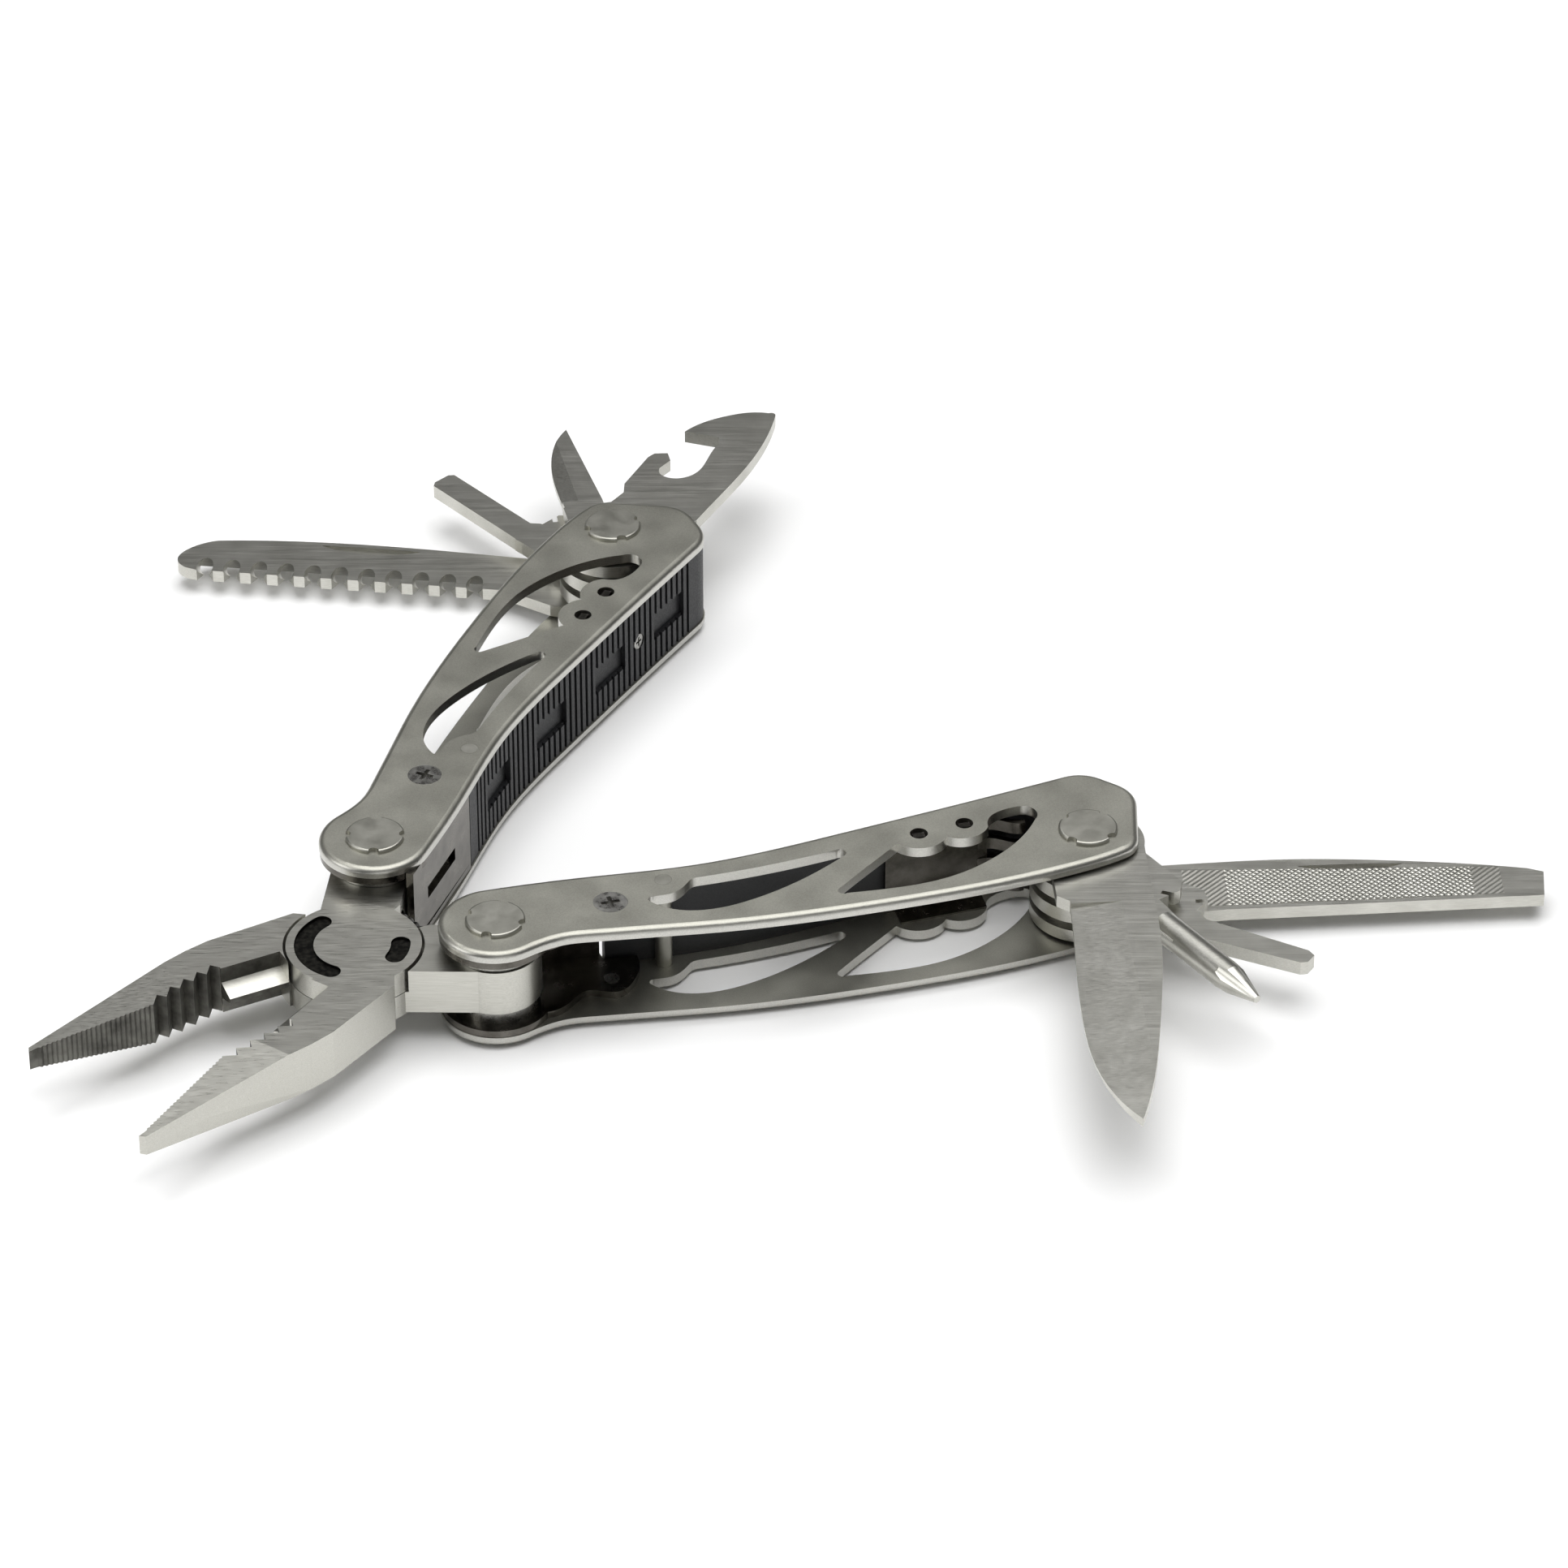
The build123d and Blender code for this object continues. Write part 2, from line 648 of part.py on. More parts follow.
def saw_blade():
    tooth_tip = -1.0
    first = 18.0
    teeth = [(first - 2.0, tooth_tip)]
    for tooth in range(saw_tooth_count):
        x = first + tooth * saw_tooth_pitch
        teeth += [(x, tooth_tip), (x + saw_tooth_pitch * 0.4, tooth_tip),
                  (x + saw_tooth_pitch * 0.74, tooth_tip + saw_tooth_depth)]
    last = first + saw_tooth_count * saw_tooth_pitch
    back = tooth_tip + saw_width
    edge = Polyline((0, -base_radius + 2.5), (9, -4.2), *teeth, (last, tooth_tip),
                    (saw_length - 1.6, tooth_tip + 0.5))
    tip = Spline(edge @ 1, (saw_length, 2.0), (saw_length - 1.6, 5.0), (saw_length - 5.5, back - 1.3))
    spine = Spline(tip @ 1, (48, back - 0.1), (30, back), (12, back - 0.8), (0, 7.6))
    face = make_face([*edge.edges(), tip, spine, Line(spine @ 1, edge @ 0)]) + Circle(base_radius)
    body = tool_blank(3, face) - nail_nick(38, back - 0.9, 3)
    high = tool_levels[3][1]
    for tooth in range(saw_tooth_count):
        x = first + (tooth + 0.74) * saw_tooth_pitch
        grind = Rot(58, 0, 0) * Cylinder(saw_grind_radius, 8)
        body -= Pos(x, tooth_tip + 0.6, high + 0.2) * grind
    return body


def large_screwdriver():
    shank = outline(
        (10, -4.0), (driver_length - 0.6, -2.2), (driver_length, -1.4), (driver_length, 1.4),
        (driver_length - 0.6, 2.1), (19, 1.0), (17.8, 2.0), (10, 3))
    return tool_blank(2, tool_base(17.5, 7.0, 3.6) + shank) - hook_notch(17.5, 4.6, 2)


def hook_notch(x, y, level_index):
    """Small notch ground into the corner of a tool base."""
    low, high = tool_levels[level_index]
    return Pos(x, y, (low + high) / 2) * (Rot(0, 0, 35) * Box(2.4, 0.8, high - low + 2))


def small_blade():
    cutting = Spline((9, -4.6), (24, -4.3), (30.5, -3.0), (blade_length, 0.2))
    face = make_face([cutting, Line(cutting @ 1, (15.5, 1.6)), Line((15.5, 1.6), (9, 1.6)),
                      Line((9, 1.6), (9, -4.6))]) + tool_base(14.5, 6.0, 4.6)
    body = tool_blank(1, face)
    return body - hook_notch(14.6, 3.8, 1) - edge_grind(1, 16, blade_length, -4.6, 2.6)


def edge_grind(level_index, start, end, edge_y, width):
    """Two shallow wedges that thin a blade towards its cutting edge."""
    low, high = tool_levels[level_index]
    low += axial_play
    high -= axial_play
    middle = (low + high) / 2
    lip = edge_thickness / 2
    upper = outline((edge_y - 1.0, middle + lip * 0.6), (edge_y + width, high),
                    (edge_y + width, high + 1), (edge_y - 1.0, high + 1))
    upper = Pos(start, 0, 0) * extrude(Plane.YZ * upper, amount=end - start + 2, dir=(1, 0, 0))
    return upper + mirror(upper, about=Plane.XY.offset(middle))


def can_opener():
    back = Spline((11, 7.4), (20, 6.2), (30, 4.5), (38, 2.0), (opener_length - 0.4, 0.4))
    beak = Spline((opener_length - 0.4, -0.8), (40, -3.4), (37, -5.8), (34.2, -7.3), (30.0, -8.3))
    lip = Spline((30.2, -2.0), (25, -0.8), (21, -0.3), (18.6, -1.8), (18.1, -4.0), (19.6, -5.5))
    face = make_face([
        back, ThreePointArc(back @ 1, (opener_length, -0.2), beak @ 0), beak,
        *Polyline((30.0, -8.3), (31.6, -3.1), (30.2, -2.0)).edges(), lip,
        *Polyline((19.6, -5.5), (22.2, -5.4), (23.6, -6.9), (22.4, -8.5), (21.0, -8.7),
                  (13, -7.3), (11, -6.0)).edges(),
        Line((11, -6.0), (11, 7.4))])
    face += Circle(base_radius) + outline((0, -6.0), (12, -6.0), (12, 7.3), (0, 7.6))
    return tool_blank(0, face)


def knife_blade():
    point = (knife_length, 0.0)
    spine = Spline((0, 7.9), (14, 7.6), (25, 7.3), (35, 6.1), (45, 4.5), (55, 2.5), point)
    cutting = Spline(point, (56, -3.5), (50, -4.9), (42, -5.4), (30, -5.0), (14, -4.1))
    face = make_face([spine, cutting, Line(cutting @ 1, (12.6, -5.8)), Line((12.6, -5.8), (0, -5.8)),
                      Line((0, -5.8), (0, 7.9))]) + Circle(base_radius)
    body = tool_blank(0, face)
    return body - edge_grind(0, 14.6, knife_length, -5.2, 8.2)


def phillips_driver():
    low, high = tool_levels[1]
    middle = (low + high) / 2
    neck = outline((10, -2.15), (22, -2.0), (22, 1.6), (14.5, 2.3), (10, 2.6))
    body = tool_blank(1, tool_base(13.4, 7.6, 4.0) + neck) - hook_notch(13.2, 4.4, 1)
    shank_start = 17.5
    cone_start = phillips_length - 5.6
    shank = Pos(shank_start, 0, middle) * (Rot(0, 90, 0) * Cylinder(
        phillips_radius, cone_start - shank_start, align=(Align.CENTER, Align.CENTER, Align.MIN)))
    tip = Pos(cone_start, 0, middle) * (Rot(0, 90, 0) * Cone(
        phillips_radius, 0.55, phillips_length - cone_start,
        align=(Align.CENTER, Align.CENTER, Align.MIN)))
    body += [shank, tip]
    for quarter in range(4):
        flute = Rot(0, 90, 0) * Cylinder(flute_radius, 16)
        flute = Pos(phillips_length + 1.0, 0, flute_radius + 0.35) * (Rot(0, 12, 0) * flute)
        body -= Pos(0, 0, middle) * (Rot(45 + 90 * quarter, 0, 0) * flute)
    return body


def small_screwdriver():
    shank = outline(
        (10, -4.2), (18, -3.9), (small_driver_length - 0.8, -1.3), (small_driver_length, -0.6),
        (small_driver_length, 1.2), (small_driver_length - 1.2, 1.8), (19, 0.6), (17.2, 1.6),
        (10, 2))
    return tool_blank(2, tool_base(16.8, 6.4, 4.2) + shank) - hook_notch(16.6, 4.2, 2)


def file_blade():
    back = Spline((0, 7.0), (10, 7.3), (30, 8.1), (45, 7.1), (55, 5.9), (file_length - 2.2, 4.5))
    face = make_face([
        back, *Polyline(back @ 1, (file_length, 3.6), (file_length - 0.6, -2.0), (20, -3.5),
                        (10, -4.4), (0, -5.5)).edges(), Line((0, -5.5), (0, 7.0))])
    return tool_blank(3, face + Circle(base_radius)) - nail_nick(38, 6.4, 3)


# ------------------------------------------------------------------ placing

def in_handle(solid, angle):
    """Puts a tool drawn in its own frame into the handle frame at its rest angle."""
    turned = Rot(0, 0, angle) * mirror(solid, about=Plane.XZ)
    return Pos(pivot_spacing, 0, 0) * turned


def place_left(solid):
    """Handle frame to row frame, for the handle on the upper half's tang."""
    at = polar(tang_reach, tang_angle + jaw_opening / 2)
    return Pos(*at, 0) * (Rot(0, 0, handle_rest_lean) * solid)


def place_right(solid):
    at = polar(tang_reach, -tang_angle - jaw_opening / 2)
    return Pos(*at, 0) * (Rot(0, 0, -handle_rest_lean) * mirror(solid, about=Plane.XZ))


def solids_of(shape):
    parts = shape if isinstance(shape, (list, tuple)) else [shape]
    return [s for p in parts for s in p.solids()]


def keep(name, shape, place=None):
    solids = solids_of(shape)
    if place:
        solids = [s for solid in solids for s in solids_of(place(solid))]
    written.append((name, solids))


def build_handle(side, place, turn):
    keep(f"{side}_top_plate", handle_plate(inner_high, 1), place)
    keep(f"{side}_bottom_plate", handle_plate(plate_low, -1), place)
    keep(f"{side}_grip_insert", grip_insert(), place)
    keep(f"{side}_grip_screw", grip_screw(), place)
    keep(f"{side}_liner_bracket", liner_bracket(), place)
    keep(f"{side}_spring_bracket", spring_bracket(), place)
    keep(f"{side}_tang_barrel", barrel(0), place)
    keep(f"{side}_tang_caps", caps(0, turn), place)
    keep(f"{side}_tool_barrel", barrel(pivot_spacing), place)
    keep(f"{side}_tool_caps", caps(pivot_spacing, turn + 20), place)
    keep(f"{side}_tang_washers", tang_washers(), place)
    keep(f"{side}_assembly_screws", [assembly_screw(1), assembly_screw(-1)], place)
    keep(f"{side}_cross_pin", cross_pin(), place)


def build_all():
    keep("top_jaw", top_jaw())
    keep("under_jaw", under_jaw())
    keep("jaw_pivot_pin", jaw_pivot_pin())
    keep("return_spring", return_spring())
    build_handle("left", place_left, 22)
    build_handle("right", place_right, 30)
    keep("left_tool_washers", [washer(0), washer(1), washer(4)], place_left)
    keep("right_tool_washers", [washer(3), washer(4)], place_right)
    keep("screwdriver_washer", washer(2), place_left)
    keep("saw_washer", washer(3), place_left)
    keep("knife_washer", washer(0), place_right)
    keep("phillips_washer", washer(1), place_right)
    keep("small_driver_washer", washer(2), place_right)
    keep("can_opener", in_handle(can_opener(), opener_angle), place_left)
    keep("small_blade", in_handle(small_blade(), blade_angle), place_left)
    keep("large_screwdriver", in_handle(large_screwdriver(), driver_angle), place_left)
    keep("saw_blade", in_handle(saw_blade(), saw_angle), place_left)
    keep("knife_blade", in_handle(knife_blade(), knife_angle), place_right)
    keep("phillips_driver", in_handle(phillips_driver(), phillips_angle), place_right)
    keep("small_screwdriver", in_handle(small_screwdriver(), small_driver_angle), place_right)
    keep("file_blade", in_handle(file_blade(), file_angle), place_right)


build_all()

# the row's origin is under the middle of the whole footprint
turned = [(name, [Rot(0, 0, plier_direction) * s for s in solids]) for name, solids in written]
boxes = [s.bounding_box() for _, solids in turned for s in solids]
hub_x = -(min(b.min.X for b in boxes) + max(b.max.X for b in boxes)) / 2
hub_y = -(min(b.min.Y for b in boxes) + max(b.max.Y for b in boxes)) / 2
for name, solids in turned:
    placed = [Pos(hub_x, hub_y, 0) * s for s in solids]
    export_step(placed[0] if len(placed) == 1 else Compound(placed), f"parts/{name}.step")
print("hub axis at", round(hub_x, 4), round(hub_y, 4))
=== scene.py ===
import json
import math

import bmesh
import bpy
from mathutils import Matrix, Vector


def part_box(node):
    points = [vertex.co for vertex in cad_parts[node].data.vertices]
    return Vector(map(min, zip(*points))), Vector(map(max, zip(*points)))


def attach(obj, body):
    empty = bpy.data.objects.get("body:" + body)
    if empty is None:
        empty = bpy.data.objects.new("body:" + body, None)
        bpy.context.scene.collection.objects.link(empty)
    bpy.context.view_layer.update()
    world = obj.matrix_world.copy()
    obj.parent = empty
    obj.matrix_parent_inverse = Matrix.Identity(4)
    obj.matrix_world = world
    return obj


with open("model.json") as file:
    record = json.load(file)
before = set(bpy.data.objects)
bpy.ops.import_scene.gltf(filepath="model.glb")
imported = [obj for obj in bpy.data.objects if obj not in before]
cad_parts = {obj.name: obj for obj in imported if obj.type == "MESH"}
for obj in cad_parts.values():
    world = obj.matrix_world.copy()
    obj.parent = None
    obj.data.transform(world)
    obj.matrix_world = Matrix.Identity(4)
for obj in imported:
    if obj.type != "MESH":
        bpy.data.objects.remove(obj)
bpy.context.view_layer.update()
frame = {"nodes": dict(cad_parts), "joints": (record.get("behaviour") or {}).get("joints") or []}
nodes = frame["nodes"]
mm = 0.001

# pivots come from the joints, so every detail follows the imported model
jointAt = {j["name"]: Vector(j["pos_m"]) for j in frame["joints"]}
hub = jointAt["jaw_close"]
leftTang = jointAt["left_handle_fold"]
rightTang = jointAt["right_handle_fold"]
leftTools = jointAt["saw_open"]
rightTools = jointAt["knife_open"]
print("stage: frame loaded,", len(nodes), "nodes")


def planAngle(start, end):
    return math.atan2(end.y - start.y, end.x - start.x)


leftLean = planAngle(leftTang, leftTools)
rightLean = planAngle(rightTang, rightTools)


# ---------- materials ----------

def colour(hexCode, alpha=1.0):
    channels = [int(hexCode[i:i + 2], 16) / 255 for i in (1, 3, 5)]
    linear = [c / 12.92 if c <= 0.04045 else ((c + 0.055) / 1.055) ** 2.4 for c in channels]
    return (*linear, alpha)


def addNode(tree, kind, inputs=None, **settings):
    node = tree.nodes.new(kind)
    for name, value in settings.items():
        setattr(node, name, value)
    for key, value in (inputs or {}).items():
        if isinstance(value, bpy.types.NodeSocket):
            tree.links.new(value, node.inputs[key])
        else:
            node.inputs[key].default_value = value
    return node


def newMaterial(name):
    material = bpy.data.materials.new(name)
    material.use_nodes = True
    tree = material.node_tree
    tree.nodes.clear()
    shader = addNode(tree, "ShaderNodeBsdfPrincipled")
    addNode(tree, "ShaderNodeOutputMaterial", {"Surface": shader.outputs[0]})
    return material, tree, shader


def grainTexture(tree, coords, angle, along, across, detail=2.0):
    # noise stretched along one direction: grain lengths in mm along and across the grinding marks
    turned = addNode(tree, "ShaderNodeMapping", {
        "Vector": coords, "Rotation": (0, 0, -angle),
        "Scale": (1 / (along * mm), 1 / (across * mm), 1 / (across * mm))}, vector_type="POINT")
    return addNode(tree, "ShaderNodeTexNoise", {
        "Vector": turned.outputs[0], "Scale": 1.0, "Detail": detail, "Roughness": 0.6})


def ramp(tree, factor, low, high, positions=(0.3, 0.7)):
    node = addNode(tree, "ShaderNodeValToRGB", {"Fac": factor})
    node.color_ramp.elements[0].position = positions[0]
    node.color_ramp.elements[1].position = positions[1]
    node.color_ramp.elements[0].color = low
    node.color_ramp.elements[1].color = high
    return node


def rangeTo(tree, factor, low, high, fromLow=0.3, fromHigh=0.7):
    return addNode(tree, "ShaderNodeMapRange", {
        "Value": factor, "From Min": fromLow, "From Max": fromHigh, "To Min": low, "To Max": high})


def mixColour(tree, factor, first, second, blend="MIX"):
    return addNode(tree, "ShaderNodeMix", {0: factor, 6: first, 7: second},
                   data_type="RGBA", blend_type=blend).outputs[2]


def facing(tree, normal, direction, low, high):
    # 0 where the surface looks away from a direction, 1 where it looks along it
    dot = addNode(tree, "ShaderNodeVectorMath", {0: normal, 1: direction}, operation="DOT_PRODUCT")
    return rangeTo(tree, dot.outputs["Value"], 0.0, 1.0, low, high).outputs[0]


# the edge colour is the brighter tone of steep side faces: part tumbled polish, part painted highlight
blastedPlate = {
    "face": ("#a3a299", "#aeada4"), "edge": "#c4c3bd", "mottle": 6.0, "grit": 0.16,
    "roughness": (0.40, 0.47), "edgeRoughness": 0.28, "bump": 0.00001}


def beadBlastedStainless():
    # 420 stainless, stamped and glass bead blasted: an even grey satin; steep side faces painted
    # brighter, partly the polish left by tumbling and partly a painted highlight
    material, tree, shader = newMaterial("beadBlastedStainless")
    coords = addNode(tree, "ShaderNodeTexCoord")
    mottle = addNode(tree, "ShaderNodeTexNoise", {
        "Vector": coords.outputs["Object"], "Scale": 1 / (blastedPlate["mottle"] * mm), "Detail": 4.0})
    grit = addNode(tree, "ShaderNodeTexNoise", {
        "Vector": coords.outputs["Object"], "Scale": 1 / (blastedPlate["grit"] * mm), "Detail": 2.0})
    low, high = (colour(code) for code in blastedPlate["face"])
    face = ramp(tree, mottle.outputs[0], low, high)
    # steep side faces: smoother from tumbling, and their colour lifted as a painted highlight
    dot = addNode(tree, "ShaderNodeVectorMath",
                  {0: coords.outputs["Normal"], 1: (0, 0, 1)}, operation="DOT_PRODUCT")
    steep = addNode(tree, "ShaderNodeMath", {0: dot.outputs["Value"]}, operation="ABSOLUTE")
    edge = rangeTo(tree, steep.outputs[0], 1.0, 0.0, 0.2, 0.9)
    base = mixColour(tree, edge.outputs[0], face.outputs[0], colour(blastedPlate["edge"]))
    speck = ramp(tree, grit.outputs[0], (0.86, 0.86, 0.86, 1), (1.1, 1.1, 1.1, 1))
    tree.links.new(mixColour(tree, 0.8, base, speck.outputs[0], "MULTIPLY"), shader.inputs["Base Color"])
    rough = rangeTo(tree, mottle.outputs[0], *blastedPlate["roughness"])
    mixed = addNode(tree, "ShaderNodeMix", {
        0: edge.outputs[0], 2: rough.outputs[0], 3: blastedPlate["edgeRoughness"]})
    tree.links.new(mixed.outputs[0], shader.inputs["Roughness"])
    bump = addNode(tree, "ShaderNodeBump", {
        "Height": grit.outputs[0], "Distance": blastedPlate["bump"], "Strength": 0.6})
    tree.links.new(bump.outputs[0], shader.inputs["Normal"])
    shader.inputs["Metallic"].default_value = 1.0
    return material


groundJaw = {
    "face": ("#b9b8b0", "#cfcec7"), "innerShade": ("#504f4b", "#7b7a74"), "floor": ("#161615", "#34332f"),
    "grain": (4.0, 0.12), "blotch": 3.0, "roughness": (0.27, 0.40), "innerFaceRoughness": 0.5,
    "floorRoughness": 0.55, "floorGrit": 0.7, "bump": 0.000012,
    # distances in mm: where the painted shade on the inner jaw faces fades in past the hub, and the
    # radius and depths of the recess whose floor is painted dark as shade
    "innerShadeStart": (5, 7), "recessRadius": 9.2, "recessDepths": (0.08, 0.6)}


def groundForging(name, grainAngle, innerDirection, recessTop=None):
    # drop-forged stainless, ground on its flats: fine one-way lines; the inner jaw faces are painted
    # darker as painted shade
    material, tree, shader = newMaterial(name)
    coords = addNode(tree, "ShaderNodeTexCoord")
    grain = grainTexture(tree, coords.outputs["Object"], grainAngle, *groundJaw["grain"])
    blotch = addNode(tree, "ShaderNodeTexNoise", {
        "Vector": coords.outputs["Object"], "Scale": 1 / (groundJaw["blotch"] * mm), "Detail": 4.0,
        "Roughness": 0.6})
    low, high = (colour(code) for code in groundJaw["face"])
    face = ramp(tree, grain.outputs[0], low, high, (0.25, 0.75)).outputs[0]
    # painted shade: jaw faces turned towards the closing line, past the hub, are darkened
    innerShadeLow, innerShadeHigh = (colour(code) for code in groundJaw["innerShade"])
    innerShade = ramp(tree, blotch.outputs[0], innerShadeLow, innerShadeHigh).outputs[0]
    fromHub = addNode(tree, "ShaderNodeVectorMath", {0: coords.outputs["Object"], 1: hub[:]},
                      operation="SUBTRACT")
    reach = addNode(tree, "ShaderNodeVectorMath", {
        0: fromHub.outputs[0], 1: (-math.cos(jawDirection), -math.sin(jawDirection), 0)},
        operation="DOT_PRODUCT")
    innerShadeStart, innerShadeFull = (distance * mm for distance in groundJaw["innerShadeStart"])
    onJaw = rangeTo(tree, reach.outputs["Value"], 0.0, 1.0, innerShadeStart, innerShadeFull).outputs[0]
    looking = facing(tree, coords.outputs["Normal"], innerDirection, 0.25, 0.6)
    inner = addNode(tree, "ShaderNodeMath", {0: onJaw, 1: looking}, operation="MULTIPLY").outputs[0]
    base = mixColour(tree, inner, face, innerShade)
    roughBase = rangeTo(tree, grain.outputs[0], *groundJaw["roughness"]).outputs[0]
    rough = addNode(tree, "ShaderNodeMix", {
        0: inner, 2: roughBase, 3: groundJaw["innerFaceRoughness"]}).outputs[0]
    # painted shade: the floor of the recess round the hub is painted near black
    if recessTop is not None:
        top, bottom = (recessTop - hub.z - depth * mm for depth in groundJaw["recessDepths"])
        split = addNode(tree, "ShaderNodeSeparateXYZ", {0: fromHub.outputs[0]})
        flat = addNode(tree, "ShaderNodeCombineXYZ", {0: split.outputs[0], 1: split.outputs[1]})
        radius = addNode(tree, "ShaderNodeVectorMath", {0: flat.outputs[0]}, operation="LENGTH")
        within = addNode(tree, "ShaderNodeMath", {
            0: radius.outputs["Value"], 1: groundJaw["recessRadius"] * mm}, operation="LESS_THAN")
        below = addNode(tree, "ShaderNodeMath", {0: split.outputs[2], 1: top}, operation="LESS_THAN")
        above = addNode(tree, "ShaderNodeMath", {0: split.outputs[2], 1: bottom},
                        operation="GREATER_THAN")
        inRecess = addNode(tree, "ShaderNodeMath", {0: within.outputs[0], 1: below.outputs[0]},
                           operation="MULTIPLY")
        inRecess = addNode(tree, "ShaderNodeMath", {0: inRecess.outputs[0], 1: above.outputs[0]},
                           operation="MULTIPLY")
        recessShadeLow, recessShadeHigh = (colour(code) for code in groundJaw["floor"])
        floorNoise = addNode(tree, "ShaderNodeTexNoise", {
            "Vector": coords.outputs["Object"], "Scale": 1 / (groundJaw["floorGrit"] * mm),
            "Detail": 3.0})
        paintedRecessShade = ramp(tree, floorNoise.outputs[0], recessShadeLow, recessShadeHigh, (0.4, 0.75)).outputs[0]
        base = mixColour(tree, inRecess.outputs[0], base, paintedRecessShade)
        rough = addNode(tree, "ShaderNodeMix", {
            0: inRecess.outputs[0], 2: rough, 3: groundJaw["floorRoughness"]}).outputs[0]
    tree.links.new(base, shader.inputs["Base Color"])
    tree.links.new(rough, shader.inputs["Roughness"])
    height = mixColour(tree, 0.35, grain.outputs[0], blotch.outputs[0])
    bump = addNode(tree, "ShaderNodeBump", {
        "Height": height, "Distance": groundJaw["bump"], "Strength": 0.7})
    tree.links.new(bump.outputs[0], shader.inputs["Normal"])
    shader.inputs["Metallic"].default_value = 1.0
    return material


satinBlade = {
    "face": ("#bfbeb7", "#d4d3cc"), "roughness": (0.28, 0.40), "bump": 0.000006,
    "lines": (9.0, 0.11), "stain": 5.0}


def satinBladeSteel(name, lineAngle):
    # 420 stainless blade stock, belt-ground across the blade: fine straight cross lines
    material, tree, shader = newMaterial(name)
    coords = addNode(tree, "ShaderNodeTexCoord")
    lines = grainTexture(tree, coords.outputs["Object"], lineAngle, *satinBlade["lines"], detail=3.0)
    stain = addNode(tree, "ShaderNodeTexNoise", {
        "Vector": coords.outputs["Object"], "Scale": 1 / (satinBlade["stain"] * mm), "Detail": 4.0})
    low, high = (colour(code) for code in satinBlade["face"])
    face = ramp(tree, lines.outputs[0], low, high, (0.3, 0.7)).outputs[0]
    tone = ramp(tree, stain.outputs[0], (0.86, 0.86, 0.85, 1), (1.04, 1.04, 1.04, 1)).outputs[0]
    tree.links.new(mixColour(tree, 1.0, face, tone, "MULTIPLY"), shader.inputs["Base Color"])
    rough = rangeTo(tree, lines.outputs[0], *satinBlade["roughness"])
    tree.links.new(rough.outputs[0], shader.inputs["Roughness"])
    bump = addNode(tree, "ShaderNodeBump", {
        "Height": lines.outputs[0], "Distance": satinBlade["bump"], "Strength": 0.8})
    tree.links.new(bump.outputs[0], shader.inputs["Normal"])
    shader.inputs["Metallic"].default_value = 1.0
    return material


def turnedSteel(name, tones, roughness, blotchSize, scratch=0.10):
    # small turned or stamped steel pieces: tumbled smooth, with soft stains and hair-fine scratches
    material, tree, shader = newMaterial(name)
    coords = addNode(tree, "ShaderNodeTexCoord")
    blotch = addNode(tree, "ShaderNodeTexNoise", {
        "Vector": coords.outputs["Object"], "Scale": 1 / (blotchSize * mm), "Detail": 5.0,
        "Roughness": 0.62})
    scratches = addNode(tree, "ShaderNodeTexNoise", {
        "Vector": coords.outputs["Object"], "Scale": 1 / (scratch * mm), "Detail": 2.0})
    low, high = (colour(code) for code in tones)
    tree.links.new(ramp(tree, blotch.outputs[0], low, high).outputs[0], shader.inputs["Base Color"])
    rough = rangeTo(tree, blotch.outputs[0], *roughness)
    tree.links.new(rough.outputs[0], shader.inputs["Roughness"])
    bump = addNode(tree, "ShaderNodeBump", {
        "Height": scratches.outputs[0], "Distance": 0.000005, "Strength": 0.5})
    tree.links.new(bump.outputs[0], shader.inputs["Normal"])
    shader.inputs["Metallic"].default_value = 1.0
    return material


mouldedGrip = {
    "tones": ("#0d0e10", "#1c1d20"), "texture": 0.25, "dust": 7.0, "roughness": (0.42, 0.6),
    "bump": 0.00003, "refraction": 1.53}


def filledNylon():
    # black glass-filled nylon, injection moulded: near-black, soft sheen, fine spark-eroded texture
    material, tree, shader = newMaterial("filledNylonGrip")
    coords = addNode(tree, "ShaderNodeTexCoord")
    texture = addNode(tree, "ShaderNodeTexNoise", {
        "Vector": coords.outputs["Object"], "Scale": 1 / (mouldedGrip["texture"] * mm), "Detail": 3.0})
    dust = addNode(tree, "ShaderNodeTexNoise", {
        "Vector": coords.outputs["Object"], "Scale": 1 / (mouldedGrip["dust"] * mm), "Detail": 5.0})
    low, high = (colour(code) for code in mouldedGrip["tones"])
    tree.links.new(ramp(tree, dust.outputs[0], low, high).outputs[0], shader.inputs["Base Color"])
    rough = rangeTo(tree, texture.outputs[0], *mouldedGrip["roughness"])
    tree.links.new(rough.outputs[0], shader.inputs["Roughness"])
    bump = addNode(tree, "ShaderNodeBump", {
        "Height": texture.outputs[0], "Distance": mouldedGrip["bump"], "Strength": 0.6})
    tree.links.new(bump.outputs[0], shader.inputs["Normal"])
    shader.inputs["IOR"].default_value = mouldedGrip["refraction"]
    return material


jawDirection = (planAngle(hub, leftTang) + planAngle(hub, rightTang)) / 2

# direction of each tool, from its pivot, in degrees past the handle's own lean
toolSwing = {
    "saw_blade": (leftLean, 105.1, 1), "large_screwdriver": (leftLean, 67.2, 1),
    "small_blade": (leftLean, 34.9, 1), "can_opener": (leftLean, -13.0, 1),
    "knife_blade": (rightLean, 99.9, -1), "phillips_driver": (rightLean, 69.3, -1),
    "small_screwdriver": (rightLean, 46.8, -1), "file_blade": (rightLean, 12.2, -1)}
toolDirection = {
    name: lean + side * math.radians(swing) for name, (lean, swing, side) in toolSwing.items()}

jawOpening = math.radians(29.3)
halfOpening = jawOpening / 2
grainTurn = 0.5
upperInner = jawDirection + halfOpening + math.radians(90)
lowerInner = jawDirection - halfOpening - math.radians(90)


def wear(name, material):
    mesh = nodes[name].data
    mesh.materials.clear()
    mesh.materials.append(material)


